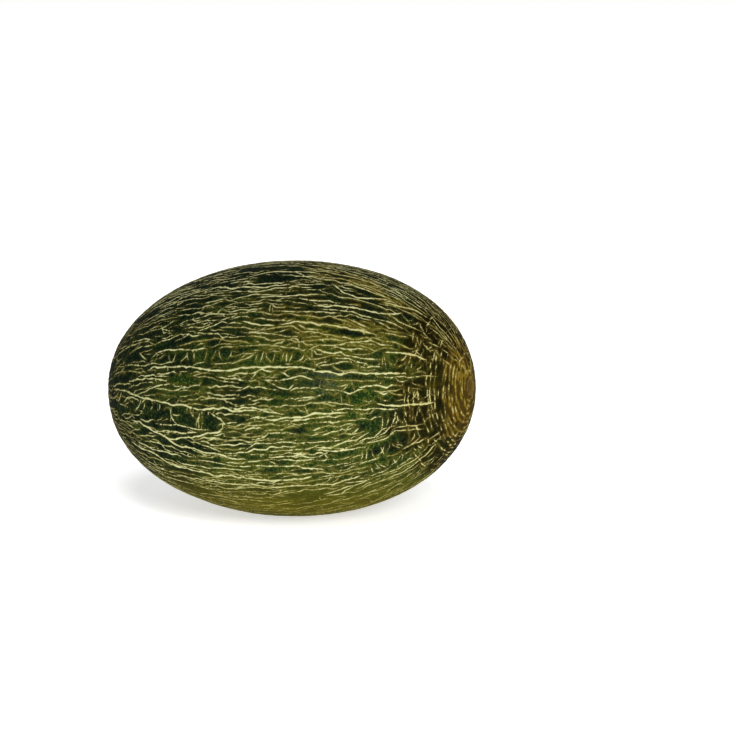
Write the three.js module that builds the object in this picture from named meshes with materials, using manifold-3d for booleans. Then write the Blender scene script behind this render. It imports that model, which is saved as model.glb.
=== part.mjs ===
// A whole Piel de Sapo melon lying on its side, as picked. It grew in one piece, so it is one solid.
// Millimetres, +Z up. The axis from stem end to blossom end runs along X, blossom end at +X.
// The origin is on the ground, under the middle of the melon's bounding box.

import * as THREE from 'three';
import { mergeVertices } from 'three/addons/utils/BufferGeometryUtils.js';
import Module from 'manifold-3d';

// Driving sizes, in millimetres where a comment gives no other unit.
const LENGTH = 250; // stem end to blossom end, before the scars are pressed in
const DIAMETER = 165; // across the middle, before the melon settles
const FULLNESS = 2.09; // exponent of the long outline: 2 is an ellipse, more has blunter ends
const BLOSSOM_SWELL = 0.021; // share by which the blossom half is fatter at its end, the stem half thinner
const TIP_UP = 2; // degrees by which the blossom end is raised
const SETTLING = 1.2; // depth of the flat spot that the melon rests on
const STEM_SCAR_DIAMETER = 15;
const STEM_SCAR_DEPTH = 2;
const BLOSSOM_SCAR_DIAMETER = 11;
const BLOSSOM_SCAR_DEPTH = 0.9;

// How finely the curved skin is divided.
const SEGMENTS_AROUND = 60;
const STATIONS_PER_HALF = 16;
const STATIONS_IN_SCAR = 3;

const SKIN_GREEN = 0x3f4a20;
const SKIN_ROUGHNESS = 0.55;

// The long outline of one half, from the middle of the scar at its end to just short of the equator.
// side is -1 for the stem half and 1 for the blossom half. Each point is (radius, place along the axis).
function halfOutline(side, scarDiameter, scarDepth) {
  const power = 2 / FULLNESS;
  const endRadius = (DIAMETER / 2) * (1 + side * BLOSSOM_SWELL);
  const scarRadius = scarDiameter / 2;
  const rimAngle = Math.asin(Math.pow(scarRadius / endRadius, 1 / power));

  function pointAt(angle) {
    const along = Math.pow(Math.cos(angle), power);
    const swell = 1 + side * BLOSSOM_SWELL * along;
    const radius = (DIAMETER / 2) * Math.pow(Math.sin(angle), power) * swell;
    const inScar = Math.max(0, 1 - (radius / scarRadius) ** 2);
    return new THREE.Vector2(radius, side * ((LENGTH / 2) * along - scarDepth * inScar ** 2));
  }

  const points = [];
  for (let i = 0; i < STATIONS_IN_SCAR; i++) {
    points.push(pointAt((rimAngle * i) / STATIONS_IN_SCAR));
  }
  for (let i = 0; i < STATIONS_PER_HALF; i++) {
    points.push(pointAt(rimAngle + ((Math.PI / 2 - rimAngle) * i) / STATIONS_PER_HALF));
  }
  return points;
}

// The round skin, turned about its axis and laid along X with the blossom end tipped up.
function roundSkin() {
  const stemHalf = halfOutline(-1, STEM_SCAR_DIAMETER, STEM_SCAR_DEPTH);
  const equator = new THREE.Vector2(DIAMETER / 2, 0);
  const blossomHalf = halfOutline(1, BLOSSOM_SCAR_DIAMETER, BLOSSOM_SCAR_DEPTH).reverse();
  const skin = new THREE.LatheGeometry([...stemHalf, equator, ...blossomHalf], SEGMENTS_AROUND);
  skin.rotateZ(-Math.PI / 2);
  skin.rotateY(-THREE.MathUtils.degToRad(TIP_UP));
  return skin;
}

// Everything above the ground, as a block wide enough for the whole melon.
function aboveGround(groundHeight) {
  const block = new THREE.BoxGeometry(2 * LENGTH, 2 * DIAMETER, 2 * DIAMETER);
  block.translate(0, 0, groundHeight + DIAMETER);
  return block;
}

function toSolid(wasm, geometry) {
  const bare = geometry.clone();
  bare.deleteAttribute('normal');
  bare.deleteAttribute('uv');
  const merged = mergeVertices(bare, 1e-3);
  const vertProperties = new Float32Array(merged.attributes.position.array);
  const triVerts = new Uint32Array(merged.index.array);
  return new wasm.Manifold(new wasm.Mesh({ numProp: 3, vertProperties, triVerts }));
}

function toGeometry(solid) {
  const mesh = solid.getMesh();
  const geometry = new THREE.BufferGeometry();
  geometry.setAttribute('position', new THREE.BufferAttribute(mesh.vertProperties, mesh.numProp));
  geometry.setIndex(new THREE.BufferAttribute(mesh.triVerts, 1));
  return geometry;
}

// The skin cut flat where it rests, then moved so that the origin is under the middle of its box.
function settledSkin(wasm) {
  const skin = roundSkin();
  skin.computeBoundingBox();
  const ground = skin.boundingBox.min.z + SETTLING;
  const settled = toGeometry(toSolid(wasm, skin).intersect(toSolid(wasm, aboveGround(ground))));
  settled.computeBoundingBox();
  const middle = settled.boundingBox.getCenter(new THREE.Vector3());
  settled.translate(-middle.x, -middle.y, -ground);
  settled.computeVertexNormals();
  return settled;
}

const wasm = await Module();
wasm.setup();

const skinMaterial = new THREE.MeshStandardMaterial({
  color: SKIN_GREEN,
  roughness: SKIN_ROUGHNESS,
  metalness: 0,
});
const melon = new THREE.Mesh(settledSkin(wasm), skinMaterial);
melon.name = 'melon';

const part = new THREE.Group();
part.add(melon);

export default part;
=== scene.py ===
# The looks of a whole Piel de Sapo melon: its dark rind under a raised corky net, a white floor, soft
# light and the camera. Metres, in the model's frame: +X towards the blossom end, +Z up. The rind and its
# net are worked out in millimetres along and around the melon's own axis, as a strand is about 1 mm wide.
import math
import random
from collections import defaultdict

import bpy
import numpy as np
from mathutils import Matrix, Vector
from mathutils.kdtree import KDTree


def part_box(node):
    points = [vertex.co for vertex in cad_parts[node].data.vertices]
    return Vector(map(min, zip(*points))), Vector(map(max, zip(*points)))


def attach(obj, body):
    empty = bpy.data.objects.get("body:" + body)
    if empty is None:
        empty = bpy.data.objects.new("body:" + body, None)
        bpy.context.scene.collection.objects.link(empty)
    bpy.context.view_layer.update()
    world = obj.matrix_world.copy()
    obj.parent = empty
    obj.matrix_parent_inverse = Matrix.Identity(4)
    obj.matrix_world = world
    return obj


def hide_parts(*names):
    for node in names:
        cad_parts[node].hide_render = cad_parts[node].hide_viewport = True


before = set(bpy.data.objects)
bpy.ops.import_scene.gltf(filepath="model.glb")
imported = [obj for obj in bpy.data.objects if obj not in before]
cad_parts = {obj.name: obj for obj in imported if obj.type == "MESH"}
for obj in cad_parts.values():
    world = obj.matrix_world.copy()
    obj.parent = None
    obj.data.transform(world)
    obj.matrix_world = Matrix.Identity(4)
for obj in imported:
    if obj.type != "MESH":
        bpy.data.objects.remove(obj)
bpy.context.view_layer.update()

MM = 0.001
LOW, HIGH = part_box("melon")
SIZE = HIGH - LOW

# ---------------------------------------------------------------- the rind's shape, in millimetres

FULLNESS = 2.09  # exponent of the long outline: 2 is an ellipse, more has blunter ends
BLOSSOM_SWELL = 0.021  # share by which the blossom half is fatter at its end
TIP_UP = math.radians(2)  # the blossom end is raised by this much
STEM_SCAR_RADIUS, STEM_SCAR_DEPTH = 7.5, 2.0
BLOSSOM_SCAR_RADIUS, BLOSSOM_SCAR_DEPTH = 5.5, 0.9
HALF_LENGTH = SIZE.x / MM / 2
MID_RADIUS = SIZE.y / MM / 2
TABLE_STEPS = 4000


class Outline:
    """The melon's long outline, from the stem end (turn 0) to the blossom end (turn pi)."""

    def __init__(self):
        self.turn = np.linspace(0, math.pi, TABLE_STEPS + 1)
        power = 2 / FULLNESS
        along = -np.sign(np.cos(self.turn)) * np.abs(np.cos(self.turn)) ** power
        self.radius = MID_RADIUS * np.sin(self.turn).clip(0) ** power * (1 + BLOSSOM_SWELL * along)
        stem_dip = (1 - (self.radius / STEM_SCAR_RADIUS) ** 2).clip(0) ** 2 * (along < 0)
        blossom_dip = (1 - (self.radius / BLOSSOM_SCAR_RADIUS) ** 2).clip(0) ** 2 * (along > 0)
        self.x = HALF_LENGTH * along + STEM_SCAR_DEPTH * stem_dip - BLOSSOM_SCAR_DEPTH * blossom_dip
        steps = np.hypot(np.diff(self.x), np.diff(self.radius))
        self.run = np.concatenate([[0], np.cumsum(steps)])
        self.length = self.run[-1]

    def normals(self, turn):
        """Outward normals in the outline's plane, as (along the axis, away from it)."""
        slope_x = np.interp(turn, self.turn, np.gradient(self.x))
        slope_r = np.interp(turn, self.turn, np.gradient(self.radius))
        size = np.hypot(slope_x, slope_r)
        return -slope_r / size, slope_x / size

    def run_at(self, station):
        """Distance along the skin from the stem end to a station: -1 is the stem end and 1 the other."""
        # The very tips are left out, because x turns back in a scar's dip.
        middle = slice(TABLE_STEPS // 50, -TABLE_STEPS // 50)
        return float(np.interp(station * HALF_LENGTH, self.x[middle], self.run[middle]))


OUTLINE = Outline()
EVEN_RUN = np.arange(0, OUTLINE.length, 0.5)
RADIUS_AT = np.interp(EVEN_RUN, OUTLINE.run, OUTLINE.radius).tolist()
X_AT = np.interp(EVEN_RUN, OUTLINE.run, OUTLINE.x).tolist()


def radius_at(run):
    """Distance from the axis at a distance along the skin from the stem end."""
    return RADIUS_AT[min(max(int(run * 2 + 0.5), 0), len(RADIUS_AT) - 1)]


def on_skin(run, angle):
    """A point on the rind. angle is round the axis: 0 faces the front, a quarter turn is the top."""
    i = min(max(int(run * 2), 0), len(RADIUS_AT) - 2)
    share = run * 2 - i
    radius = RADIUS_AT[i] + (RADIUS_AT[i + 1] - RADIUS_AT[i]) * share
    x = X_AT[i] + (X_AT[i + 1] - X_AT[i]) * share
    return x, -radius * math.cos(angle), radius * math.sin(angle)


# ---------------------------------------------------------------- the net's strands

SEED = 11
STEP = 0.8  # how far a growing strand moves at a time
CELL = 4.0  # cell size of the grid that finds a strand's neighbours
BARE_END = 8.0  # no strand grows this close to either end
KINK_SPACING = (1.8, 6.0)  # a growing strand turns after a distance in this range
STEER_FROM = 1.6  # it steers off a neighbour from this far outside the gap that stops it
STEER_TURN = 0.30  # the most that it steers by, in radians
UNDERSIDE_ROOM = 0.78  # room underneath counts for less, so the net is more open there
TRIES = 14  # places looked at for each new strand, of which the roomiest is taken
GIVE_UP = 12  # filling ends once more strands than this found no room
TRIES_PER_TICK = 12
RINGS_FROM = 41.0  # about how far from the blossom end its rings keep long strands out
RINGS_OPEN = (42, 140)  # between these angles, over the top, strands run on through the rings
RINGS = 18  # broken rings of fine cracks round the blossom end
INNER_RINGS = 4  # the first ones are loose and half of their cracks are missing
OUTER_RINGS_FROM = 13  # from this ring on there are only short ticks among the long strands
FIRST_RING = 8.5  # the smallest ring's distance from the end
RING_SPACING = 3.0
RING_STEP = 2.5  # distance between the points of a crack in a ring

rng = random.Random(SEED)
draws = np.random.default_rng(SEED)


class Strand:
    """One corky strand: where it runs, how wide it is, and its own tone from brown (0) to cream (1)."""

    def __init__(self, route, width, tone):
        self.route = route
        self.width = width
        self.tone = tone


class Net:
    """The strands grown so far, with a grid of their points to find what lies near a place."""

    def __init__(self):
        self.strands = []
        self.cells = defaultdict(list)

    def add(self, strand):
        self.strands.append(strand)
        for run, angle in strand.route:
            point = on_skin(run, angle)
            self.cells[tuple(int(c // CELL) for c in point)].append((point, run, angle))

    def nearest(self, run, angle):
        """Distance to the nearest strand, up to CELL, with where that point of it is."""
        x, y, z = on_skin(run, angle)
        cx, cy, cz = int(x // CELL), int(y // CELL), int(z // CELL)
        best, where = CELL * CELL, None
        for i in (cx - 1, cx, cx + 1):
            for j in (cy - 1, cy, cy + 1):
                for k in (cz - 1, cz, cz + 1):
                    for (px, py, pz), r, a in self.cells.get((i, j, k), ()):
                        gap = (px - x) ** 2 + (py - y) ** 2 + (pz - z) ** 2
                        if gap < best:
                            best, where = gap, (r, a)
        return math.sqrt(best), where


net = Net()

# Pockets of bare skin between the strands: station, angle in degrees, half their length, half their angle
# and how dark their skin is, from green (0) to almost black (1).
POCKETS = [
    (-0.72, 21, 0.13, 3.2, 1), (-0.66, 32, 0.08, 2.5, 1), (-0.62, 4, 0.06, 3, 0.9),
    (-0.45, 1, 0.11, 2.5, 0.9), (-0.27, 0, 0.05, 2.8, 1), (-0.13, -1.5, 0.055, 2.2, 1),
    (-0.30, 17.5, 0.09, 2.6, 0.1), (-0.42, 34, 0.09, 1.6, 0.8), (-0.34, 41, 0.05, 1.8, 0.6),
    (-0.35, 58, 0.06, 1.8, 0.8), (-0.22, 67.5, 0.10, 1.3, 1), (0.10, 69, 0.11, 3.2, 1),
    (0.04, 79.5, 0.20, 2.2, 0.9), (0.57, 69, 0.07, 1.8, 1), (0.56, 59, 0.07, 1.7, 0.9),
    (0.35, 57, 0.05, 1.2, 0.7), (0.57, 40.8, 0.07, 1.4, 1), (0.81, 62, 0.06, 2.5, 1),
    (0.25, 51.5, 0.06, 1.3, 0.6), (0.65, 8, 0.07, 3.2, 0.1), (0.33, -6, 0.05, 1.8, 0.8),
    (0.65, -9, 0.05, 2.5, 0.5), (0.72, -23.5, 0.12, 3.5, 1), (0.03, 0, 0.05, 1.4, 0.6),
    (0.14, -25.5, 0.06, 1.6, 0.4), (-0.62, -8, 0.06, 2.0, 0.4), (-0.40, -21.5, 0.08, 1.8, 0.5),
    (0.27, 9.5, 0.04, 1.2, 0.3), (-0.85, 33, 0.04, 7, 1), (-0.80, 2, 0.05, 4, 0.9),
    (-0.60, 48, 0.07, 1.6, 0.9), (-0.62, 60, 0.10, 2.2, 0.9), (0.44, 11, 0.05, 1.1, 0.1),
    (0.86, 48, 0.035, 4, 1),
]


def hidden_pockets(count):
    """More pockets, on the sides that no feature is placed on."""
    for _ in range(count):
        place = rng.uniform(-0.85, 0.85), rng.uniform(97, 318)
        POCKETS.append((*place, rng.uniform(0.05, 0.12), rng.uniform(1.3, 3.2), rng.random()))


def pocket_depth(station, degrees, pocket):
    """How deep a place lies in a pocket: 1 in its middle, 0 on its rim, less outside."""
    middle, angle, half_length, half_angle, _ = pocket
    turned = (degrees - angle + 180) % 360 - 180
    return 1 - ((station - middle) / half_length) ** 2 - (turned / half_angle) ** 2


def keeps_bare(run, angle):
    """Whether long strands stay out of a place, for a pocket, a row of cross cracks or the rings."""
    degrees = math.degrees(angle)
    wavy_border = RINGS_FROM + 4 * math.sin(3 * angle + 1) + 3 * math.sin(7 * angle)
    over_the_top = RINGS_OPEN[0] <= degrees <= RINGS_OPEN[1]
    if run > OUTLINE.length - wavy_border and not over_the_top:
        return True
    station = on_skin(run, 0)[0] / HALF_LENGTH
    for start, stop, low, high, _ in TICK_ROWS[:CLEAR_TICK_ROWS]:
        if start < station < stop and low - 0.5 < degrees < high:
            return True
    return any(pocket_depth(station, degrees, pocket) > 0 for pocket in POCKETS)


def wander(run, angle):
    """A slow swing of the whole net's direction, the same for neighbouring strands, in radians."""
    return 0.07 * math.sin(run / 31 + 2 * math.sin(angle)) + 0.05 * math.sin(run / 17 + 3 * angle)


def grow(run, angle, heading, reach, kink, stop_gap, free=2.5, lean=0.0):
    """A route from a place along a heading: 0 runs along the melon and a quarter turn runs round it.
    It kinks every few millimetres and keeps off its neighbours. Past its free first part it ends where
    it meets a neighbour or bare skin. A strand that branches off starts with a lean and soon loses it."""
    route = [(run, angle)]
    gone, turned, target, next_kink = 0.0, 0.0, 0.0, 0.0
    while gone < reach:
        if gone >= next_kink:
            target = rng.gauss(0, kink) - 0.35 * turned
            next_kink = gone + rng.uniform(*KINK_SPACING)
        turned += 0.85 * (target - turned)
        lean_left = lean * 0.85 ** (gone / STEP)
        bearing = heading + turned + lean_left + wander(run, angle) * math.cos(heading)
        gap, where = net.nearest(run, angle)
        if where and gap < stop_gap + STEER_FROM and gone > 2:
            side = 1 if math.sin(where[1] - angle) > 0 else -1
            bearing -= side * STEER_TURN * (1 - (gap - stop_gap) / STEER_FROM) * math.cos(heading)
        run += STEP * math.cos(bearing)
        angle += STEP * math.sin(bearing) / max(radius_at(run), 2)
        if not BARE_END < run < OUTLINE.length - BARE_END:
            break
        route.append((run, angle))
        gone += STEP
        if gone > free and (net.nearest(run, angle)[0] < stop_gap or keeps_bare(run, angle)):
            break
    return route


def random_place(low, high):
    """A place on the skin between two distances from the stem end, as likely anywhere on its area."""
    while True:
        run = rng.uniform(low, high)
        if rng.random() * MID_RADIUS < radius_at(run):
            return run, rng.uniform(-math.pi, math.pi)


def roomy_place(low, high, room):
    """The place with the most room out of some tries, or None if none has the room."""
    best, found = room, None
    for _ in range(TRIES):
        place = random_place(low, high)
        gap = net.nearest(*place)[0] + rng.uniform(0, 0.6)
        if math.sin(place[1]) < -0.7:
            gap *= UNDERSIDE_ROOM
        if gap > best and not keeps_bare(*place):
            best, found = gap, place
    return found


def fill(count, reach, width, kink, room, stop_gap,
         low=9.0, high=OUTLINE.length - 9, heading=0.0, slant=0.0):
    """Grows strands both ways from roomy places until there is no room or there are enough."""
    misses = 0
    for _ in range(count):
        place = roomy_place(low, high, room)
        if place is None:
            misses += 1
            if misses > GIVE_UP:
                break
            continue
        lean = heading + rng.gauss(0, slant)
        half = rng.uniform(*reach) / 2
        ahead = grow(*place, lean, half, kink, stop_gap)
        behind = grow(*place, lean + math.pi, half, kink, stop_gap)
        route = behind[::-1] + ahead[1:]
        if len(route) * STEP > 0.4 * reach[0]:
            net.add(Strand(route, rng.uniform(*width), rng.random()))


def branches(count, reach, width):
    """Strands that leave others at a slant and then run beside them."""
    stems = [strand for strand in net.strands if len(strand.route) > 20]
    for _ in range(count):
        run, angle = rng.choice(rng.choice(stems).route[4:-4])
        heading = rng.choice((0, math.pi))
        length = rng.uniform(*reach)
        lean = rng.choice((-1, 1)) * rng.uniform(0.4, 0.8)
        route = grow(run, angle, heading, length, kink=0.25, stop_gap=0.8, lean=lean)
        if len(route) * STEP > 6:
            net.add(Strand(route, rng.uniform(*width), rng.random()))


def drawn(points, width, tone, jitter=0.42):
    """A strand through chosen places, each a station along the axis and an angle in degrees."""
    runs = [OUTLINE.run_at(station) for station, _ in points]
    angles = [math.radians(angle) for _, angle in points]
    route, offset, target = [], 0.0, 0.0
    for (r0, a0), (r1, a1) in zip(zip(runs, angles), zip(runs[1:], angles[1:])):
        span = math.hypot(r1 - r0, (a1 - a0) * radius_at((r0 + r1) / 2))
        steps = max(int(span / STEP), 1)
        for i in range(steps):
            if rng.random() < 0.2:
                target = rng.gauss(0, jitter)
            offset += 0.4 * (target - offset)
            share = i / steps
            run = r0 + (r1 - r0) * share
            angle = a0 + (a1 - a0) * share
            if abs(r1 - r0) > span / 2:
                route.append((run, angle + offset / max(radius_at(run), 2)))
            else:
                route.append((run + offset, angle))
    route.append((runs[-1], angles[-1]))
    net.add(Strand(route, width, tone))


# The strands that show best from the front, as (station, angle) places.
THICK = [
    [(-0.82, 13.5), (-0.74, 13), (-0.68, 12), (-0.62, 10.5), (-0.57, 9.5), (-0.52, 8.7), (-0.42, 7.2),
     (-0.36, 6.5), (-0.30, 6.3), (-0.25, 5.2), (-0.20, 4.1), (-0.15, 3.9), (-0.10, 4.7), (-0.05, 4.8),
     (0, 3.7), (0.13, 3.6)],
    [(-0.52, 23), (-0.47, 24), (-0.40, 23.2), (-0.25, 23), (-0.18, 22), (-0.08, 20.8), (0, 21),
     (0.05, 21.6), (0.20, 22.3), (0.27, 21.5), (0.35, 22), (0.42, 21.3)],
    [(0.41, 20.2), (0.48, 20.3), (0.53, 19), (0.58, 19.8), (0.65, 20), (0.72, 20.7), (0.81, 21.5)],
    [(0.17, -0.5), (0.22, -0.8), (0.27, 0.3), (0.35, 0.2), (0.42, 1.3), (0.50, 0.8), (0.56, 0.4)],
    [(-0.66, -4.8), (-0.60, -4.3), (-0.55, -6.5), (-0.50, -8.5), (-0.45, -9.4), (-0.40, -11),
     (-0.36, -10.7), (-0.32, -9.5), (-0.27, -9), (-0.21, -7.6), (-0.15, -6.5), (-0.09, -5.6),
     (-0.05, -3.7)],
    [(-0.43, -10.3), (-0.38, -13), (-0.33, -14.3), (-0.26, -14.3), (-0.22, -16), (-0.15, -16.3),
     (-0.10, -17), (-0.05, -18.3), (0.02, -19)],
    [(-0.72, -21.3), (-0.62, -22.5), (-0.55, -22.2), (-0.50, -24.3), (-0.45, -26.7), (-0.40, -27.2),
     (-0.35, -26.5), (-0.32, -28), (-0.26, -28.2), (-0.20, -29), (-0.08, -28.5), (-0.02, -29.5),
     (0.05, -30.5), (0.12, -31.2), (0.20, -31), (0.33, -30.5)],
    [(0.69, 4), (0.73, 2), (0.78, 1.3), (0.83, 0.3), (0.87, -1), (0.91, -2.8)],
    [(-0.06, 71.5), (0.02, 73.5), (0.11, 75.3), (0.20, 76), (0.27, 76.7), (0.31, 76.5)],
    [(0.40, 69), (0.44, 66), (0.48, 63.5), (0.54, 63.2), (0.60, 65.5), (0.64, 67.5), (0.68, 70)],
    [(0.66, 66), (0.72, 69), (0.76, 71.5), (0.80, 74.5), (0.84, 76.5)],
    [(0.36, 52.5), (0.43, 53.5), (0.50, 54.5), (0.57, 55.5), (0.63, 56.5), (0.68, 57.5), (0.72, 60),
     (0.75, 64)],
    [(0.02, 43), (0.06, 41.7), (0.12, 40.8), (0.19, 40.8)],
    [(0.22, 41.5), (0.30, 43), (0.38, 43.8), (0.46, 43), (0.52, 43), (0.60, 43.3), (0.68, 42.8)],
    [(0.72, 33.5), (0.78, 34.7), (0.84, 35.3), (0.88, 35)],
    [(-0.28, 63.5), (-0.20, 65.3), (-0.13, 64), (-0.06, 63.2), (0.02, 62.9), (0.08, 62.9), (0.14, 64),
     (0.20, 64.5)],
]
# Thinner ones between them.
THIN = [
    [(-0.70, 28), (-0.62, 27), (-0.55, 25.8), (-0.48, 26.2), (-0.44, 25.2), (-0.34, 25.8)],
    [(-0.50, 29), (-0.47, 31.5), (-0.38, 31.9), (-0.32, 31.2), (-0.26, 30.8), (-0.15, 30.8)],
    [(-0.60, 33.7), (-0.57, 30.8), (-0.53, 28.3)],
    [(-0.50, 35.8), (-0.45, 37.3), (-0.39, 37.6), (-0.33, 39), (-0.28, 38.8), (-0.24, 37.3),
     (-0.20, 37.2)],
    [(-0.68, 42.5), (-0.62, 41.5), (-0.56, 41), (-0.50, 38.8)],
    [(-0.23, 39.4), (-0.17, 40.8), (-0.11, 43), (-0.06, 42.5), (0.02, 42.2)],
    [(-0.32, 43.2), (-0.27, 43.8), (-0.20, 44.4), (-0.11, 44.7)],
    [(-0.50, 44.5), (-0.45, 45), (-0.40, 47.8), (-0.37, 47)],
    [(-0.36, 44), (-0.32, 45.5), (-0.26, 46.8), (-0.17, 48), (-0.11, 47), (-0.06, 47), (0.02, 47.3),
     (0.10, 48.5)],
    [(-0.14, 48.7), (-0.11, 50), (-0.08, 52), (-0.04, 53), (0, 54)],
    [(-0.39, 53.2), (-0.32, 53.2), (-0.26, 52.2), (-0.20, 53.2), (-0.15, 55), (-0.12, 55)],
    [(-0.70, 53), (-0.62, 55.5), (-0.55, 56), (-0.50, 57.5), (-0.43, 57.5)],
    [(-0.35, 62.7), (-0.30, 61), (-0.20, 60.7), (-0.13, 60.3)],
    [(-0.35, 70.5), (-0.25, 71.2), (-0.15, 72), (-0.10, 74)],
    [(0.22, 65.2), (0.31, 66), (0.37, 67.8)],
    [(0.06, 56), (0.15, 56.5), (0.24, 57.2), (0.33, 59), (0.40, 60)],
    [(0.17, 48), (0.25, 48.3), (0.33, 48.7), (0.41, 49.3), (0.50, 50.5)],
    [(0.31, 42), (0.35, 40), (0.43, 40.3)],
    [(0.68, 44.5), (0.74, 45.5), (0.80, 47)],
    [(0.53, 48.5), (0.60, 46.5), (0.64, 45.3)],
    [(0.02, 37.8), (0.07, 37.3), (0.14, 37.4), (0.20, 36.5), (0.26, 35.6), (0.33, 36)],
    [(0.38, 30), (0.43, 32.5), (0.50, 33), (0.54, 34.8), (0.60, 36), (0.65, 38), (0.70, 37), (0.75, 38)],
    [(0.02, 31.5), (0.10, 31.8), (0.20, 31.3), (0.28, 31), (0.38, 29.5)],
    [(-0.12, 23.5), (-0.06, 24), (0, 24.2), (0.04, 25), (0.08, 26), (0.13, 28)],
    [(-0.60, 10), (-0.56, 11.5), (-0.52, 13), (-0.47, 14), (-0.38, 12.5), (-0.34, 12.2), (-0.30, 13.5),
     (-0.24, 13.8), (-0.20, 14.5), (-0.16, 13.5)],
    [(-0.47, 14.4), (-0.42, 15.6), (-0.36, 15.3)],
    [(-0.21, 18.4), (-0.15, 18.5), (-0.10, 17.4), (-0.05, 16.2), (0.04, 15.5)],
    [(-0.09, 18.5), (-0.02, 17.5), (0.08, 16.4)],
    [(0.15, 16.8), (0.22, 16.2), (0.27, 16.8), (0.34, 17.8), (0.38, 17.3), (0.42, 16)],
    [(0.25, 20.2), (0.30, 18.2)],
    [(-0.18, 8.5), (-0.10, 9), (-0.04, 8.8), (0.04, 9)],
    [(0.30, 11.7), (0.33, 13.2), (0.38, 12.8), (0.45, 12.5)],
    [(0.42, 22.8), (0.48, 23.8), (0.53, 25), (0.58, 25.2)],
    [(0.50, 26.8), (0.57, 27.2), (0.60, 26.2), (0.613, 24.5), (0.615, 23)],
    [(0.72, 18.3), (0.78, 18.8), (0.84, 20), (0.89, 21.5), (0.92, 22)],
    [(0.20, 5), (0.27, 5.2), (0.33, 5.3), (0.40, 6), (0.48, 6.3), (0.53, 5.3), (0.61, 3.5)],
    [(0.13, 3.6), (0.20, 2.5), (0.27, 1.9)],
    [(-0.48, -4), (-0.42, -4), (-0.37, -3.2), (-0.31, -3.6), (-0.20, -5), (-0.14, -5.2)],
    [(-0.36, 5), (-0.365, 1), (-0.35, -1.5), (-0.33, -3.2)],
    [(-0.185, 2.5), (-0.195, 0), (-0.20, -4.2)],
    [(-0.14, 3.5), (-0.11, 2), (-0.075, 0.5), (-0.06, -1), (-0.047, -3.2)],
    [(-0.65, 9.5), (-0.68, 7.8), (-0.71, 5.3)],
    [(-0.56, 8), (-0.58, 5), (-0.62, 1)],
    [(-0.73, 11.5), (-0.75, 8), (-0.77, 5)],
    [(-0.75, -4), (-0.71, -1.5), (-0.67, -1.5), (-0.63, -3.5)],
    [(0.37, -5.2), (0.40, -6), (0.43, -5.2), (0.47, -4.8), (0.52, -5.8), (0.57, -5.5), (0.60, -6.5)],
    [(0.15, -6.3), (0.22, -6.5), (0.28, -7), (0.33, -8.4)],
    [(0.05, -4.8), (0.10, -3.5), (0.15, -4.7)],
    [(0.04, -14), (0.06, -13), (0.10, -11), (0.18, -11), (0.25, -11), (0.32, -12), (0.40, -12.2),
     (0.52, -13)],
    [(0.15, -15), (0.22, -14.8), (0.30, -14.8), (0.38, -14.6), (0.43, -13.5)],
    [(0.38, -15.7), (0.43, -17), (0.48, -18.3), (0.56, -19), (0.62, -19.5)],
    [(0.20, -19.3), (0.25, -19.5), (0.30, -21), (0.37, -20.8)],
    [(-0.60, -16), (-0.50, -14.6), (-0.45, -15.8), (-0.40, -15.2), (-0.35, -17), (-0.30, -17.3),
     (-0.26, -18)],
    [(-0.28, -20.3), (-0.22, -20.5), (-0.12, -21.7), (-0.02, -22.8), (0.05, -22)],
    [(0.05, -22), (0.16, -22.5), (0.28, -23.5), (0.31, -25), (0.36, -26.3), (0.40, -27.5)],
    [(-0.30, -10.3), (-0.24, -10.8), (-0.20, -12), (-0.16, -12.8), (-0.10, -15.2)],
    [(0.58, -16), (0.63, -15), (0.67, -15.8), (0.71, -14), (0.73, -11.5), (0.76, -12)],
    [(0.60, -17.3), (0.66, -17.8), (0.72, -17.5), (0.75, -15.2), (0.79, -16.5), (0.83, -19),
     (0.86, -22)],
    [(0.75, -13), (0.79, -13.8), (0.83, -15.5), (0.86, -18)],
]
# Rows of short cross cracks: from this station, to this one, low angle, high angle, number of cracks.
TICK_ROWS = [
    (-0.41, -0.01, 25.3, 30.2, 9),
    (0.11, 0.36, 23.8, 28.8, 8),
    (-0.56, -0.40, 2.5, 7.0, 4),
    (0.70, 0.91, -12.0, -2.0, 12),
    (0.79, 0.93, 2.0, 12.0, 8),
    (0.58, 0.85, -28.0, -20.5, 11),
    (0.70, 0.88, 24.5, 31.0, 7),
    (0.82, 0.92, 37.0, 45.0, 5),
    (0.76, 0.88, 59.0, 65.0, 6),
    (0.83, 0.91, 44.0, 52.0, 5),
    (0.60, 0.86, -38.0, -31.0, 11),
]
CLEAR_TICK_ROWS = 3  # no long strand runs through the first rows, which show best


def draw_features():
    """The chosen strands and the rows of cross cracks."""
    for points in THICK:
        drawn(points, rng.uniform(1.0, 1.2), rng.uniform(0.8, 1.0))
    for points in THIN:
        drawn(points, rng.uniform(0.65, 0.9), rng.uniform(0.5, 0.9), jitter=0.36)
    for start, stop, low, high, number in TICK_ROWS:
        for i in range(number):
            station = start + (stop - start) * (i + rng.uniform(0.1, 0.9)) / number
            tilt = rng.gauss(0.002, 0.010)
            foot = low + rng.uniform(0, 0.15) * (high - low)
            head = high - rng.uniform(0, 0.2) * (high - low)
            middle = (station + tilt / 2, (foot + head) / 2)
            points = [(station - tilt, foot), middle, (station + tilt, head)]
            drawn(points, rng.uniform(0.5, 0.65), rng.uniform(0.6, 0.9), jitter=0.12)


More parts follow.
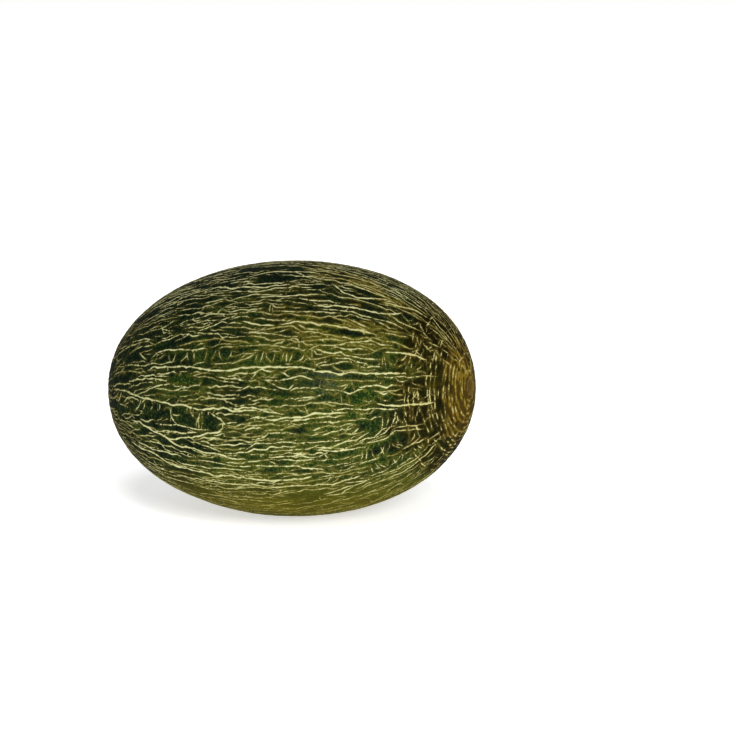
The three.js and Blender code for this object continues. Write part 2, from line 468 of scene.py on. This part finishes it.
def ring_cracks():
    """Fine cracks that run round the blossom end in broken rings, and a few round the stem end."""
    for ring in range(RINGS):
        from_end = FIRST_RING + RING_SPACING * ring
        inner, outer = ring < INNER_RINGS, ring >= OUTER_RINGS_FROM
        longest = 6 if inner or outer else 12 if ring < 9 else 8
        angle = -math.pi
        while angle < math.pi:
            run = OUTLINE.length - from_end + rng.gauss(0, 0.7 if inner else 0.35)
            length = rng.uniform(3, longest) / radius_at(run)
            over_the_top = RINGS_OPEN[0] < math.degrees(angle) < RINGS_OPEN[1]
            opened = over_the_top and ring > INNER_RINGS
            missing = 0.85 if opened else 0.5 if inner else 0.6 if outer else 0.1
            if rng.random() > missing:
                points, shift, slope = [], 0.0, rng.gauss(0, 0.18)
                for part in range(int(length * radius_at(run) / RING_STEP) + 2):
                    shift += slope + rng.gauss(0, 0.15)
                    points.append((run + shift, angle + part * RING_STEP / radius_at(run)))
                width = rng.uniform(0.5, 0.8)
                tone = rng.uniform(0.45, 0.9) + 0.04 * min(ring, OUTER_RINGS_FROM - 1)
                net.add(Strand(points, width, tone))
            angle += length + rng.uniform(0.8, 3.0) / radius_at(run)
    fill(30, reach=(6, 18), width=(0.5, 0.8), kink=0.2, room=2.6, stop_gap=1.2,
         low=11, high=26, heading=math.pi / 2, slant=0.12)


def cross_ticks(count):
    """Short cracks across the gaps between strands, in loose rows."""
    made = 0
    for _ in range(count * TRIES_PER_TICK):
        run, angle = random_place(20, OUTLINE.length - 15)
        crowd = math.sin(run / 19 + 5 * angle) + math.sin(run / 11 - 9 * angle + 1)
        crowd += 0.6 * math.sin(31 * angle)
        gap = net.nearest(run, angle)[0]
        if crowd < 0.5 or gap < 1.5:
            continue
        across = math.pi / 2 + rng.gauss(0, 0.25)
        ahead = grow(run, angle, across, reach=4.5, kink=0.12, stop_gap=0.6, free=0.5)
        behind = grow(run, angle, across + math.pi, reach=4.5, kink=0.12, stop_gap=0.6, free=0.5)
        route = behind[::-1] + ahead[1:]
        if len(route) * STEP > 2.5:
            net.add(Strand(route, rng.uniform(0.4, 0.6), rng.uniform(0.3, 0.7)))
            made += 1
        if made == count:
            break


def barbs(chance):
    """Splinters that leave a strand at a sharp angle."""
    for strand in list(net.strands):
        for (run, angle), (next_run, next_angle) in zip(strand.route, strand.route[1:]):
            if rng.random() > chance:
                continue
            radius = max(radius_at(run), 2)
            ahead = math.atan2((next_angle - angle) * radius, next_run - run)
            bearing = ahead + rng.choice((-1, 1)) * rng.uniform(0.3, 1.1)
            reach = rng.uniform(1.3, 3.6)
            tip = (run + reach * math.cos(bearing), angle + reach * math.sin(bearing) / radius)
            net.strands.append(Strand([(run, angle), tip], rng.uniform(0.4, 0.6), strand.tone - 0.15))


def grow_net():
    """The whole net: first what was chosen, then long strands, then ever shorter ones between them."""
    hidden_pockets(46)
    draw_features()
    ring_cracks()
    fill(60, reach=(60, 170), width=(0.85, 1.1), kink=0.20, room=3.6, stop_gap=1.5)
    fill(280, reach=(25, 80), width=(0.65, 0.95), kink=0.22, room=2.6, stop_gap=1.1)
    branches(260, reach=(8, 36), width=(0.55, 0.85))
    fill(640, reach=(9, 34), width=(0.5, 0.8), kink=0.24, room=1.85, stop_gap=0.8, slant=0.12)
    cross_ticks(170)
    fill(700, reach=(4, 14), width=(0.4, 0.6), kink=0.28, room=1.4, stop_gap=0.6, slant=0.2)
    barbs(0.03)


SAMPLE_SPACING = 0.25  # distance between the points that give a strand its edge


def uneven(at, spacing, low, high):
    """Random values that change along a strand, with a new one every spacing."""
    knots = np.arange(0, at[-1] + 2 * spacing, spacing)
    return np.interp(at, knots, draws.uniform(low, high, len(knots)))


def strand_samples(strand):
    """Points close together along a strand, with half its width there and its tone.
    It jogs sideways, thickens, thins and fades at random, because cork tears as it grows."""
    places = np.array([on_skin(run, angle) for run, angle in strand.route])
    spans = np.linalg.norm(np.diff(places, axis=0), axis=1)
    run = np.concatenate([[0], np.cumsum(spans)])
    at = np.linspace(0, run[-1], max(int(run[-1] / SAMPLE_SPACING), 3))
    points = np.stack([np.interp(at, run, places[:, i]) for i in range(3)], axis=1)
    sideways = np.cross(np.gradient(points, axis=0), points * (0, 1, 1))
    sideways /= np.linalg.norm(sideways, axis=1)[:, None]
    points += sideways * (uneven(at, 1.5, -0.14, 0.14) + uneven(at, 4.5, -0.38, 0.38))[:, None]
    taper = np.minimum(at, run[-1] - at) / min(5.0, 0.3 * run[-1])
    half_width = strand.width / 2 * uneven(at, 1.7, 0.55, 1.4) * (0.35 + 0.65 * taper.clip(0, 1) ** 0.7)
    tone = strand.tone + uneven(at, 3.0, -0.3, 0.3)
    return points, half_width, tone


# ---------------------------------------------------------------- the rind's mesh

CELLS_ALONG = 392  # quads along each of the four side patches
CELLS_AROUND = 258  # quads across each side patch, and each way over the ends
FAR = 6.0  # distances to a strand or a scar are kept up to here
RIDGE_SHARE = 0.42  # height of a strand as a share of its half width
SHOULDER, SHOULDER_REACH = 0.10, 0.7  # rise of the skin beside a strand, and how fast it falls off
SWELL, FURROW, PIT = 0.55, 0.16, 0.05  # heights of the melon's slow swells, its furrows and its fine pits
LIP, LIP_MIDDLE, LIP_WIDTH = 0.45, 0.8, 1.1  # the raised rim round each scar


def patches():
    """The six faces of a box wrapped on the melon, as lattice points: i along X, j and k across."""
    a, b = CELLS_ALONG, CELLS_AROUND
    along, across = np.arange(a + 1), np.arange(b + 1)
    side_a, side_b = np.meshgrid(along, across, indexing="ij")
    end_a, end_b = np.meshgrid(across, across, indexing="ij")
    full_side, full_end = np.full_like(side_a, b), np.full_like(end_a, a)
    yield side_a, side_b * 0, side_b
    yield side_a, side_b, full_side
    yield side_a, full_side, full_side - side_b
    yield side_a, full_side - side_b, side_b * 0
    yield end_a * 0, b - end_a, end_b
    yield full_end, end_a, end_b


def rind_grid():
    """Lattice points, quads and bake UVs of the rind, with each point once."""
    points, quads, uvs, count = [], [], [], 0
    margin = 0.012  # kept free round each patch, as a share of its part of the UV map
    for n, (i, j, k) in enumerate(patches()):
        rows, columns = i.shape
        index = count + np.arange(rows * columns).reshape(rows, columns)
        corners = [index[:-1, :-1], index[1:, :-1], index[1:, 1:], index[:-1, 1:]]
        quads.append(np.stack(corners, -1).reshape(-1, 4))
        u = (n % 3 + margin + (1 - 2 * margin) * np.linspace(0, 1, columns)[None, :]) / 3
        v = (n // 3 + margin + (1 - 2 * margin) * np.linspace(0, 1, rows)[:, None]) / 2
        uvs.append(np.stack(np.broadcast_arrays(u, v), -1).reshape(-1, 2))
        points.append(np.stack([i, j, k], -1).reshape(-1, 3))
        count += rows * columns
    points, quads, uvs = np.concatenate(points), np.concatenate(quads), np.concatenate(uvs)
    side = max(CELLS_ALONG, CELLS_AROUND) + 1
    keys = (points[:, 0] * side + points[:, 1]) * side + points[:, 2]
    _, first, owner = np.unique(keys, return_index=True, return_inverse=True)
    return points[first], owner[quads], uvs[quads]


def turns_and_angles(lattice):
    """Where lattice points lie on the rind: the turn along the outline and the angle round the axis."""
    share = lattice / np.array([CELLS_ALONG, CELLS_AROUND, CELLS_AROUND])
    box = np.tan((2 * share - 1) * math.pi / 4)
    box /= np.linalg.norm(box, axis=1)[:, None]
    return np.arccos((-box[:, 0]).clip(-1, 1)), np.arctan2(box[:, 2], -box[:, 1])


def value_noise(points, seed):
    """Smooth noise from -1 to 1 with one bump to a unit, the same on each run."""
    table = np.random.default_rng(seed).uniform(-1, 1, 4096)
    cell = np.floor(points).astype(np.int64)
    part = points - cell
    part = part * part * (3 - 2 * part)
    total = np.zeros(len(points))
    for dx in (0, 1):
        for dy in (0, 1):
            for dz in (0, 1):
                corner = cell + (dx, dy, dz)
                key = (corner[:, 0] * 73856093) ^ (corner[:, 1] * 19349663) ^ (corner[:, 2] * 83492791)
                weight = np.prod(np.where((dx, dy, dz), part, 1 - part), axis=1)
                total += weight * table[key % 4096]
    return total


def net_fields(points):
    """For each point: signed distance to the nearest strand's edge, with its half width and tone there.
    Strands are searched in three groups by width, since the nearest edge may be of a wide strand whose
    middle is farther away."""
    groups = defaultdict(list)
    for strand in net.strands:
        groups[0 if strand.width > 1 else 1 if strand.width > 0.7 else 2].append(strand_samples(strand))
    edge = np.full(len(points), FAR)
    half = np.full(len(points), 0.5)
    tone = np.full(len(points), 0.5)
    places = [tuple(p) for p in points.tolist()]
    for samples in groups.values():
        at = np.concatenate([s[0] for s in samples])
        widths = np.concatenate([s[1] for s in samples])
        tones = np.concatenate([s[2] for s in samples])
        tree = KDTree(len(at))
        for n, place in enumerate(at.tolist()):
            tree.insert(place, n)
        tree.balance()
        found = [tree.find(place)[1:] for place in places]
        index = np.array([f[0] for f in found])
        gap = np.array([f[1] for f in found]) - widths[index]
        closer = gap < edge
        edge[closer] = gap[closer]
        half[closer] = widths[index][closer]
        tone[closer] = tones[index][closer]
    return edge, half, tone


def skin_darkness_and_top_shade(station, angle):
    """From 0, mid green, to 1, almost black: dark in most pockets and on the stem half, with painted
    shade along the top.
    """
    degrees = np.degrees(angle)
    around = np.stack([station * 4, 5 * np.cos(angle), 5 * np.sin(angle)], 1)
    dark = 0.30 + 0.55 * value_noise(around, 4) + 0.25 * value_noise(around * 2.3, 5)
    dark += 0.85 * ((-station - 0.02) / 0.45).clip(0, 1)  # the stem half
    dark += 0.6 * ((degrees - 32) / 30).clip(0, 1) * (degrees < 150)  # painted shade along the top
    frayed = 0.8 * value_noise(around * (6, 9, 9), 6)  # breaks up the pockets' rims
    dark = dark.clip(0, 1)
    for pocket in POCKETS:
        weight = (0.3 + frayed + 1.3 * pocket_depth(station, degrees, pocket)).clip(0, 1)
        dark += (pocket[4] - dark) * weight
    return dark


def relief(points, edge, half, past_scar, at_tip):
    """How far the rind stands out from the smooth melon."""
    crest = (-edge / half).clip(0, 1)
    ridge = RIDGE_SHARE * half * (1 - (1 - crest) ** 2) ** 0.8
    shoulder = SHOULDER * np.exp(-edge.clip(0) / SHOULDER_REACH)
    swell = SWELL * value_noise(points / (70, 38, 38), 1)
    furrow = FURROW * value_noise(points / (34, 9, 9), 2)
    pits = PIT * value_noise(points / (3.2, 2.1, 2.1), 3)
    lip = LIP * np.exp(-((past_scar - LIP_MIDDLE) / LIP_WIDTH) ** 2) * at_tip
    return ridge + shoulder + swell + furrow + pits + lip


def laid_down(points):
    """The melon tipped, set into its box and pressed flat on the ground, in metres."""
    c, s = math.cos(TIP_UP), math.sin(TIP_UP)
    x, y, z = points.T
    tipped = np.stack([x * c - z * s, y, x * s + z * c], 1)
    smooth_top = MID_RADIUS * math.hypot(c, s * HALF_LENGTH / MID_RADIUS)
    shift = np.array([(LOW.x + HIGH.x) / 2, (LOW.y + HIGH.y) / 2, HIGH.z - smooth_top * MM])
    laid = tipped * MM + shift
    laid[:, 2] = laid[:, 2].clip(LOW.z)
    return laid


def make_rind():
    """The rind with its net as one closed mesh, which carries what its material needs at each point."""
    lattice, quads, uvs = rind_grid()
    turn, angle = turns_and_angles(lattice)
    x = np.interp(turn, OUTLINE.turn, OUTLINE.x)
    radius = np.interp(turn, OUTLINE.turn, OUTLINE.radius)
    out_x, out_r = OUTLINE.normals(turn)
    around = np.stack([np.zeros_like(angle), -np.cos(angle), np.sin(angle)], 1)
    points = around * radius[:, None]
    points[:, 0] = x
    outward = around * out_r[:, None]
    outward[:, 0] = out_x

    edge, half, tone = net_fields(points)
    dark = skin_darkness_and_top_shade(x / HALF_LENGTH, angle)
    past_scar = radius - np.where(x < 0, STEM_SCAR_RADIUS, BLOSSOM_SCAR_RADIUS)
    at_tip = np.abs(x) > 0.95 * HALF_LENGTH
    points += outward * relief(points, edge, half, past_scar, at_tip)[:, None]
    past_scar[~at_tip] = FAR

    mesh = bpy.data.meshes.new("melon_rind")
    mesh.vertices.add(len(points))
    mesh.vertices.foreach_set("co", laid_down(points).ravel())
    mesh.loops.add(quads.size)
    mesh.loops.foreach_set("vertex_index", quads.ravel().astype(np.int32))
    mesh.polygons.add(len(quads))
    mesh.polygons.foreach_set("loop_start", np.arange(0, quads.size, 4, dtype=np.int32))
    mesh.update(calc_edges=True)
    mesh.shade_smooth()
    layer = mesh.uv_layers.new(name="OFBake")
    layer.data.foreach_set("uv", uvs.reshape(-1))
    fields = {"edge_mm": edge, "tone": tone, "dark": dark, "past_scar_mm": past_scar}
    for name, values in fields.items():
        attribute = mesh.attributes.new(name, "FLOAT", "POINT")
        attribute.data.foreach_set("value", values.astype(np.float32))
    rind = bpy.data.objects.new("melon_rind", mesh)
    bpy.context.scene.collection.objects.link(rind)
    return rind


# ---------------------------------------------------------------- materials

def srgb(red, green, blue):
    """A shader colour from values of 0 to 255 as seen on a screen."""
    shares = [c / 255 for c in (red, green, blue)]
    return tuple(((c + 0.055) / 1.055) ** 2.4 if c > 0.04 else c / 12.92 for c in shares) + (1,)


class Nodes:
    """Short calls that add and link shader nodes."""

    def __init__(self, tree):
        self.tree = tree

    def add(self, kind, **settings):
        node = self.tree.nodes.new(kind)
        for name, value in settings.items():
            setattr(node, name, value)
        return node

    def put(self, socket, value):
        if isinstance(value, bpy.types.NodeSocket):
            self.tree.links.new(value, socket)
        else:
            socket.default_value = value

    def math(self, operation, first, second=0.0):
        node = self.add("ShaderNodeMath", operation=operation)
        self.put(node.inputs[0], first)
        self.put(node.inputs[1], second)
        return node.outputs[0]

    def span(self, value, low, high, to_low=0.0, to_high=1.0):
        """A smooth step from to_low, where value is low, to to_high, where it is high."""
        node = self.add("ShaderNodeMapRange", interpolation_type="SMOOTHSTEP")
        for socket, given in zip(node.inputs[:5], (value, low, high, to_low, to_high)):
            self.put(socket, given)
        return node.outputs[0]

    def mix(self, share, first, second):
        node = self.add("ShaderNodeMix", data_type="RGBA")
        self.put(node.inputs[0], share)
        self.put(node.inputs[6], first)
        self.put(node.inputs[7], second)
        return node.outputs[2]

    def attribute(self, name):
        return self.add("ShaderNodeAttribute", attribute_name=name).outputs["Fac"]

    def noise(self, place, bump_mm, detail=2.0, stretch=1.0, rough=0.5):
        """Noise with bumps of a size in millimetres, drawn out along the melon by stretch."""
        mapping = self.add("ShaderNodeMapping")
        self.put(mapping.inputs["Vector"], place)
        mapping.inputs["Scale"].default_value = (1 / stretch, 1, 1)
        node = self.add("ShaderNodeTexNoise")
        self.put(node.inputs["Vector"], mapping.outputs[0])
        node.inputs["Scale"].default_value = 1 / (bump_mm * MM)
        node.inputs["Detail"].default_value = detail
        node.inputs["Roughness"].default_value = rough
        return node.outputs["Fac"]


def rind_material():
    """Skin, cork and scars in one material. Noise and edges are in millimetres, and x and z in metres."""
    material = bpy.data.materials.new("netted_rind")
    material.use_nodes = True
    tree = material.node_tree
    n = Nodes(tree)
    shader = tree.nodes["Principled BSDF"]
    place = n.add("ShaderNodeTexCoord").outputs["Object"]
    split = n.add("ShaderNodeSeparateXYZ")
    n.put(split.inputs[0], place)
    x, z = split.outputs["X"], split.outputs["Z"]
    edge, tone, dark = n.attribute("edge_mm"), n.attribute("tone"), n.attribute("dark")

    # Where the cork is: inside a strand's edge, which fine noise makes ragged.
    ragged = n.math("MULTIPLY", n.math("SUBTRACT", n.noise(place, 0.8, 3), 0.5), 0.7)
    rough_edge = n.math("ADD", edge, ragged)
    cork = n.span(rough_edge, 0.14, -0.12)

    # The skin is olive beside a strand and dark green, or almost black, away from one.
    # dark carries the skin's own dark patches and the painted shade along the top.
    patchy = n.math("ADD", dark, n.span(n.noise(place, 6, 3, 2.5), 0.3, 0.7, -0.3, 0.3))
    near = n.mix(patchy, srgb(80, 80, 23), srgb(42, 42, 15))
    deep = n.mix(patchy, srgb(27, 48, 16), srgb(8, 18, 11))
    away = n.math("ADD", edge, n.span(n.noise(place, 4, 3, 2.0), 0.3, 0.7, -0.5, 0.5))
    skin = n.mix(n.span(away, 0.2, 1.7), near, deep)
    mottle = n.span(n.noise(place, 1.4, 3, rough=0.8), 0.5, 0.60, 0.0, 0.65)
    skin = n.mix(mottle, skin, n.mix(patchy, srgb(96, 112, 42), srgb(44, 62, 36)))
    dots = n.span(n.noise(place, 1.2, 2, rough=0.8), 0.48, 0.37, 0.0, 0.8)
    skin = n.mix(dots, skin, srgb(12, 26, 8))

    # Golden along the top of the blossom half, yellow where the melon lay on the ground.
    ragged_x = n.math("ADD", x, n.span(n.noise(place, 9, 3), 0.25, 0.75, -0.008, 0.008))
    top_of_blossom_half = n.math("MULTIPLY", n.span(ragged_x, -0.01, 0.07), n.span(z, 0.105, 0.150))
    golden = n.math("MULTIPLY", top_of_blossom_half, n.span(dark, 1.0, 0.85, 0.1, 1.0))
    gold = n.mix(n.span(away, 0.1, 1.4), srgb(120, 106, 32), srgb(38, 34, 9))
    skin = n.mix(n.math("MULTIPLY", golden, 0.65), skin, gold)
    low_side = n.span(z, 0.052, 0.008)
    ground_skin = n.mix(n.noise(place, 5, 3, 5.0), srgb(60, 58, 6), srgb(114, 105, 18))
    skin = n.mix(n.math("MULTIPLY", low_side, 0.8), skin, ground_skin)

    # Dark brown between the blossom end's rings, then ochre round its scar.
    browner = n.span(ragged_x, 0.088, 0.106)
    brown = n.mix(n.span(away, 0.1, 0.9), srgb(62, 50, 13), srgb(24, 17, 3))
    skin = n.mix(n.math("MULTIPLY", browner, 0.8), skin, brown)
    end_x = n.math("ADD", x, n.span(n.noise(place, 7, 3), 0.25, 0.75, -0.004, 0.004))
    end = n.span(end_x, 0.114, 0.1235, 0.0, 0.85)
    ochre = n.mix(n.span(away, 0.1, 1.2), srgb(126, 103, 24), srgb(74, 56, 10))
    skin = n.mix(end, skin, ochre)

    # Cork from olive to cream, by each strand's tone. It is tanned where the skin is golden or brown,
    # duller at the stem end and underneath, palest on top, and brown along its edges.
    flecks = n.span(n.noise(place, 2.5, 4, rough=0.8), 0.3, 0.7, 0.0, 0.7)
    cork_shade = n.math("ADD", n.math("MULTIPLY", tone, 0.6), flecks)
    corky = n.mix(n.span(cork_shade, 0.25, 0.95), srgb(132, 127, 64), srgb(202, 203, 147))
    stem_end = n.span(ragged_x, -0.062, -0.108)
    tanned = n.math("MAXIMUM", browner, golden)
    corky = n.mix(n.math("MULTIPLY", tanned, 0.4), corky, srgb(172, 148, 66))
    corky = n.mix(n.math("MULTIPLY", stem_end, 0.6), corky, srgb(126, 110, 58))
    corky = n.mix(n.span(z, 0.125, 0.16, 0.0, 0.4), corky, srgb(228, 222, 168))
    corky = n.mix(n.math("MULTIPLY", low_side, 0.85), corky, srgb(148, 136, 52))
    corky = n.mix(n.span(rough_edge, 0.04, -0.14), srgb(108, 98, 44), corky)
    colour = n.mix(cork, skin, corky)

    # A dry brown scar at each tip, darkest in its middle.
    ragged_rim = n.span(n.noise(place, 2.5, 3), 0.3, 0.7, -0.9, 0.9)
    past_scar = n.math("ADD", n.attribute("past_scar_mm"), ragged_rim)
    stem_scar = n.mix(n.span(past_scar, 0.0, -3.5), srgb(150, 130, 84), srgb(82, 66, 38))
    blossom_scar = n.mix(n.span(past_scar, 0.0, -3.0), srgb(118, 97, 32), srgb(84, 66, 18))
    scar_skin = n.mix(n.span(x, -0.01, 0.01), stem_scar, blossom_scar)
    scar_skin = n.mix(n.span(n.noise(place, 1.1, 3), 0.4, 0.6, 0.0, 0.5), scar_skin, srgb(64, 52, 30))
    scar = n.span(past_scar, 1.3, 0.3)
    colour = n.mix(scar, colour, scar_skin)
    n.put(shader.inputs["Base Color"], colour)

    # Bare skin has a soft gloss, and cork and scars are dull, with a fine grain.
    n.put(shader.inputs["Roughness"], n.span(n.math("MAXIMUM", cork, scar), 0.0, 1.0, 0.2, 0.9))
    shader.inputs["Specular IOR Level"].default_value = 0.12
    grain = n.math("MULTIPLY", n.noise(place, 0.7, 3), n.span(cork, 0, 1, 0.45, 1.0))
    bump = n.add("ShaderNodeBump")
    bump.inputs["Strength"].default_value = 0.5
    bump.inputs["Distance"].default_value = 0.25 * MM
    n.put(bump.inputs["Height"], grain)
    n.put(shader.inputs["Normal"], bump.outputs[0])
    return material


def floor_material():
    """Matt white that glows a little, so that the floor stays white away from the melon's shadow."""
    material = bpy.data.materials.new("white_floor")
    material.use_nodes = True
    shader = material.node_tree.nodes["Principled BSDF"]
    shader.inputs["Base Color"].default_value = (0.9, 0.9, 0.9, 1)
    shader.inputs["Roughness"].default_value = 0.9
    shader.inputs["Specular IOR Level"].default_value = 0.0
    shader.inputs["Emission Color"].default_value = (1, 1, 1, 1)
    shader.inputs["Emission Strength"].default_value = 0.57
    return material


# ---------------------------------------------------------------- floor, light and camera

def make_floor():
    """The flat floor that the melon rests on. It doesn't show in the rind's gloss."""
    mesh = bpy.data.meshes.new("floor")
    half = 12.0  # so large that its edge is far outside the picture
    corners = [(-half, -half, LOW.z), (half, -half, LOW.z), (half, half, LOW.z), (-half, half, LOW.z)]
    mesh.from_pydata(corners, [], [(0, 1, 2, 3)])
    floor = bpy.data.objects.new("floor", mesh)
    bpy.context.scene.collection.objects.link(floor)
    floor.data.materials.append(floor_material())
    floor.visible_glossy = False
    return floor


def aimed(back, roll=0.0):
    """A rotation that looks along -back, turned about its own line of sight by roll."""
    back = Vector(back).normalized()
    right = Vector((0, 0, 1)).cross(back).normalized()
    up = back.cross(right)
    turned_right = right * math.cos(roll) + up * math.sin(roll)
    turned_up = up * math.cos(roll) - right * math.sin(roll)
    return Matrix((turned_right, turned_up, back)).transposed(), right, up


def direction(azimuth, elevation):
    """Unit vector from the melon towards a place at these angles, in degrees. Azimuth 0 is the front."""
    a, e = math.radians(azimuth), math.radians(elevation)
    return Vector((math.sin(a) * math.cos(e), -math.cos(a) * math.cos(e), math.sin(e)))


def make_camera():
    """A camera at the front, turned towards the blossom end, with the melon left of its middle."""
    azimuth, elevation, roll = 22, 12, math.radians(-3.7)
    distance, right_of_melon, above_melon = 1.13, 0.0524, 0.0096
    data = bpy.data.cameras.new("camera")
    data.lens = 85
    camera = bpy.data.objects.new("camera", data)
    bpy.context.scene.collection.objects.link(camera)
    back = direction(azimuth, elevation)
    rotation, right, up = aimed(back, roll)
    target = (LOW + HIGH) / 2 + right * right_of_melon + up * above_melon
    camera.matrix_world = Matrix.Translation(target + back * distance) @ rotation.to_4x4()
    bpy.context.scene.camera = camera


def make_sun(name, azimuth, elevation, spread, strength):
    """Even light from one side, as from a large soft box spread over an angle in degrees."""
    data = bpy.data.lights.new(name, "SUN")
    data.angle = math.radians(spread)
    data.energy = strength
    light = bpy.data.objects.new(name, data)
    bpy.context.scene.collection.objects.link(light)
    rotation, _, _ = aimed(direction(azimuth, elevation))
    light.matrix_world = rotation.to_4x4()
    return light


def make_studio(floor):
    """A white room: pure white to the camera, dimmer where it lights the melon, and dark in its gloss.
    The key light and a small flash shine on everything, and a third light evens out the floor alone."""
    world = bpy.data.worlds.new("studio")
    bpy.context.scene.world = world
    world.use_nodes = True
    n = Nodes(world.node_tree)
    background = world.node_tree.nodes["Background"]
    path = n.add("ShaderNodeLightPath").outputs
    dim = n.span(path["Is Glossy Ray"], 0, 1, 0.25, 0.05)
    n.put(background.inputs["Strength"], n.math("MAXIMUM", dim, path["Is Camera Ray"]))
    background.inputs["Color"].default_value = (1, 1, 1, 1)
    key = make_sun("key", azimuth=43, elevation=29, spread=22, strength=1.95)
    key.visible_glossy = False
    make_sun("flash", azimuth=12, elevation=19, spread=1.5, strength=0.16)
    floor_only = bpy.data.collections.new("floor_only")
    floor_only.objects.link(floor)
    wash = make_sun("floor_wash", azimuth=35, elevation=55, spread=25, strength=1.4)
    wash.light_linking.receiver_collection = floor_only
    bpy.context.scene.view_settings.view_transform = "Standard"


make_camera()
make_studio(make_floor())
grow_net()
rind = make_rind()
rind.data.materials.append(rind_material())
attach(rind, "root")
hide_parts("melon")
